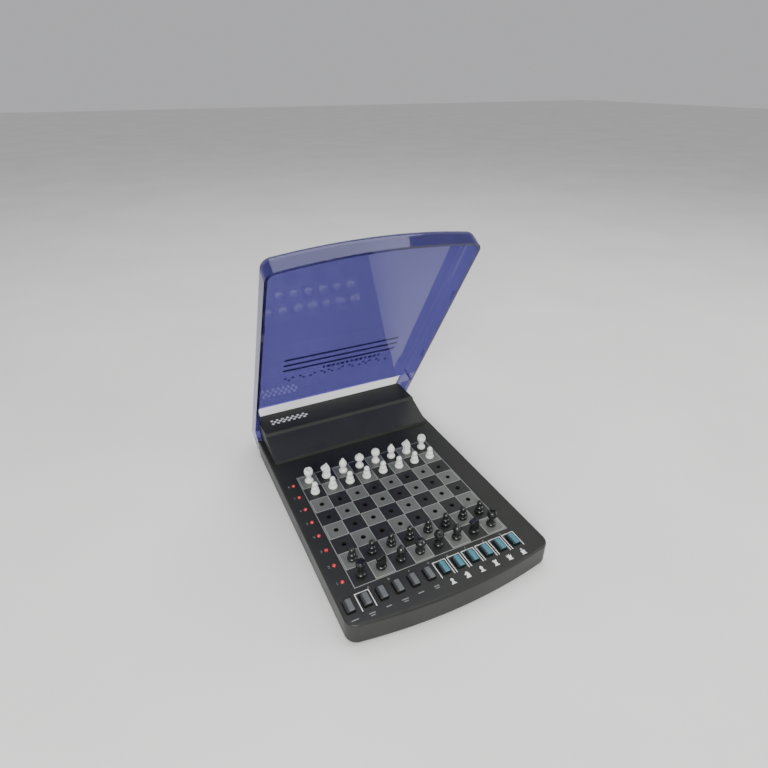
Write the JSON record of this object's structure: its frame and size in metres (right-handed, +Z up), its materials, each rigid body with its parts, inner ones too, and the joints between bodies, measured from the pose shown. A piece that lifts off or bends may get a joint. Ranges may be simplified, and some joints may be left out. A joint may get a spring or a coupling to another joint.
{
  "type": "chess computer",
  "caption": "Portable electronic chess computer: black casing with peg board, row of keys, indicator lamps and a hinged tinted see-through lid",
  "frame": {"origin": "centre of the footprint with the lid at its drawn angle, at table height", "axes": "X to the player's right, Y to the rear, Z up"},
  "size_m": [0.1456, 0.2326, 0.2029],
  "materials": {
    "case_black": "moulded, fine satin texture",
    "board_print": "printed squares, light texture",
    "key_grey": "moulded key caps",
    "key_teal": "moulded key caps",
    "lid_violet": "see-through tinted, polished",
    "pin_steel": "drawn pin",
    "washer_plastic": "natural nylon",
    "screw_steel": "zinc plated",
    "foot_rubber": "moulded",
    "sensor_film": "polyester film",
    "circuit_laminate": "solder mask",
    "chip_epoxy": "moulded package",
    "crystal_can": "drawn can",
    "lamp_red": "tinted lens",
    "keypad_rubber": "silicone",
    "buzzer_plastic": "moulded",
    "battery_jacket": "printed jacket",
    "contact_nickel": "nickel plated spring steel",
    "men_white": "moulded",
    "men_black": "moulded"
  },
  "bodies": {
    "root": {"bottom_shell": "case_black", "top_shell": "case_black", "rear_cover": "case_black", "board_plate": "board_print", "sensor_sheet": "sensor_film", "circuit_board": "circuit_laminate", "processor_chip": "chip_epoxy", "quartz_crystal": "crystal_can", "indicator_lamps": "lamp_red", "rubber_keypad": "keypad_rubber", "buzzer": "buzzer_plastic", "battery_1": "battery_jacket", "battery_2": "battery_jacket", "battery_3": "battery_jacket", "battery_contacts": "contact_nickel", "case_screws": "screw_steel", "rubber_feet": "foot_rubber", "friction_washers": "washer_plastic"},
    "lid": {"lid": "lid_violet", "hinge_pin_left": "pin_steel", "hinge_pin_right": "pin_steel"},
    "battery_door": {"battery_door": "case_black"},
    "key_power": {"key_power": "key_grey"},
    "key_new_game": {"key_new_game": "key_grey"},
    "key_level": {"key_level": "key_grey"},
    "key_side": {"key_side": "key_grey"},
    "key_take_back": {"key_take_back": "key_grey"},
    "key_move": {"key_move": "key_grey"},
    "key_pawn": {"key_pawn": "key_teal"},
    "key_knight": {"key_knight": "key_teal"},
    "key_bishop": {"key_bishop": "key_teal"},
    "key_rook": {"key_rook": "key_teal"},
    "key_queen": {"key_queen": "key_teal"},
    "key_king": {"key_king": "key_teal"},
    "white_pawns": {"white_pawns": "men_white"},
    "white_rook_left": {"white_rook_left": "men_white"},
    "white_knight_left": {"white_knight_left": "men_white"},
    "white_bishop_left": {"white_bishop_left": "men_white"},
    "white_king": {"white_king": "men_white"},
    "white_queen": {"white_queen": "men_white"},
    "white_bishop_right": {"white_bishop_right": "men_white"},
    "white_knight_right": {"white_knight_right": "men_white"},
    "white_rook_right": {"white_rook_right": "men_white"},
    "black_pawns": {"black_pawns": "men_black"},
    "black_rook_left": {"black_rook_left": "men_black"},
    "black_knight_left": {"black_knight_left": "men_black"},
    "black_bishop_left": {"black_bishop_left": "men_black"},
    "black_king": {"black_king": "men_black"},
    "black_queen": {"black_queen": "men_black"},
    "black_bishop_right": {"black_bishop_right": "men_black"},
    "black_knight_right": {"black_knight_right": "men_black"},
    "black_rook_right": {"black_rook_right": "men_black"}
  },
  "joints": [
    {"name": "lid_hinge", "type": "hinge", "parent": "root", "child": "lid", "pos_m": [0, 0.09577, 0.0131], "axis": [-1, 0, 0], "range_deg": [-59, 41]},
    {"name": "battery_door_slide", "type": "slide", "parent": "root", "child": "battery_door", "axis": [0, 1, 0], "range_m": [0, 0.05]},
    {"name": "key_power_press", "type": "slide", "parent": "root", "child": "key_power", "axis": [0, 0, -1], "range_m": [0, 0.0008], "stiffness_N_per_m": 300, "springref_m": -0.0005},
    {"name": "key_new_game_press", "type": "slide", "parent": "root", "child": "key_new_game", "axis": [0, 0, -1], "range_m": [0, 0.0008], "stiffness_N_per_m": 300, "springref_m": -0.0005},
    {"name": "key_level_press", "type": "slide", "parent": "root", "child": "key_level", "axis": [0, 0, -1], "range_m": [0, 0.0008], "stiffness_N_per_m": 300, "springref_m": -0.0005},
    {"name": "key_side_press", "type": "slide", "parent": "root", "child": "key_side", "axis": [0, 0, -1], "range_m": [0, 0.0008], "stiffness_N_per_m": 300, "springref_m": -0.0005},
    {"name": "key_take_back_press", "type": "slide", "parent": "root", "child": "key_take_back", "axis": [0, 0, -1], "range_m": [0, 0.0008], "stiffness_N_per_m": 300, "springref_m": -0.0005},
    {"name": "key_move_press", "type": "slide", "parent": "root", "child": "key_move", "axis": [0, 0, -1], "range_m": [0, 0.0008], "stiffness_N_per_m": 300, "springref_m": -0.0005},
    {"name": "key_pawn_press", "type": "slide", "parent": "root", "child": "key_pawn", "axis": [0, 0, -1], "range_m": [0, 0.0008], "stiffness_N_per_m": 300, "springref_m": -0.0005},
    {"name": "key_knight_press", "type": "slide", "parent": "root", "child": "key_knight", "axis": [0, 0, -1], "range_m": [0, 0.0008], "stiffness_N_per_m": 300, "springref_m": -0.0005},
    {"name": "key_bishop_press", "type": "slide", "parent": "root", "child": "key_bishop", "axis": [0, 0, -1], "range_m": [0, 0.0008], "stiffness_N_per_m": 300, "springref_m": -0.0005},
    {"name": "key_rook_press", "type": "slide", "parent": "root", "child": "key_rook", "axis": [0, 0, -1], "range_m": [0, 0.0008], "stiffness_N_per_m": 300, "springref_m": -0.0005},
    {"name": "key_queen_press", "type": "slide", "parent": "root", "child": "key_queen", "axis": [0, 0, -1], "range_m": [0, 0.0008], "stiffness_N_per_m": 300, "springref_m": -0.0005},
    {"name": "key_king_press", "type": "slide", "parent": "root", "child": "key_king", "axis": [0, 0, -1], "range_m": [0, 0.0008], "stiffness_N_per_m": 300, "springref_m": -0.0005},
    {"name": "white_pawns_lift", "type": "slide", "parent": "root", "child": "white_pawns", "axis": [0, 0, 1], "range_m": [0, 0.012]},
    {"name": "white_rook_left_lift", "type": "slide", "parent": "root", "child": "white_rook_left", "axis": [0, 0, 1], "range_m": [0, 0.012]},
    {"name": "white_knight_left_lift", "type": "slide", "parent": "root", "child": "white_knight_left", "axis": [0, 0, 1], "range_m": [0, 0.012]},
    {"name": "white_bishop_left_lift", "type": "slide", "parent": "root", "child": "white_bishop_left", "axis": [0, 0, 1], "range_m": [0, 0.012]},
    {"name": "white_king_lift", "type": "slide", "parent": "root", "child": "white_king", "axis": [0, 0, 1], "range_m": [0, 0.012]},
    {"name": "white_queen_lift", "type": "slide", "parent": "root", "child": "white_queen", "axis": [0, 0, 1], "range_m": [0, 0.012]},
    {"name": "white_bishop_right_lift", "type": "slide", "parent": "root", "child": "white_bishop_right", "axis": [0, 0, 1], "range_m": [0, 0.012]},
    {"name": "white_knight_right_lift", "type": "slide", "parent": "root", "child": "white_knight_right", "axis": [0, 0, 1], "range_m": [0, 0.012]},
    {"name": "white_rook_right_lift", "type": "slide", "parent": "root", "child": "white_rook_right", "axis": [0, 0, 1], "range_m": [0, 0.012]},
    {"name": "black_pawns_lift", "type": "slide", "parent": "root", "child": "black_pawns", "axis": [0, 0, 1], "range_m": [0, 0.012]},
    {"name": "black_rook_left_lift", "type": "slide", "parent": "root", "child": "black_rook_left", "axis": [0, 0, 1], "range_m": [0, 0.012]},
    {"name": "black_knight_left_lift", "type": "slide", "parent": "root", "child": "black_knight_left", "axis": [0, 0, 1], "range_m": [0, 0.012]},
    {"name": "black_bishop_left_lift", "type": "slide", "parent": "root", "child": "black_bishop_left", "axis": [0, 0, 1], "range_m": [0, 0.012]},
    {"name": "black_king_lift", "type": "slide", "parent": "root", "child": "black_king", "axis": [0, 0, 1], "range_m": [0, 0.012]},
    {"name": "black_queen_lift", "type": "slide", "parent": "root", "child": "black_queen", "axis": [0, 0, 1], "range_m": [0, 0.012]},
    {"name": "black_bishop_right_lift", "type": "slide", "parent": "root", "child": "black_bishop_right", "axis": [0, 0, 1], "range_m": [0, 0.012]},
    {"name": "black_knight_right_lift", "type": "slide", "parent": "root", "child": "black_knight_right", "axis": [0, 0, 1], "range_m": [0, 0.012]},
    {"name": "black_rook_right_lift", "type": "slide", "parent": "root", "child": "black_rook_right", "axis": [0, 0, 1], "range_m": [0, 0.012]}
  ]
}
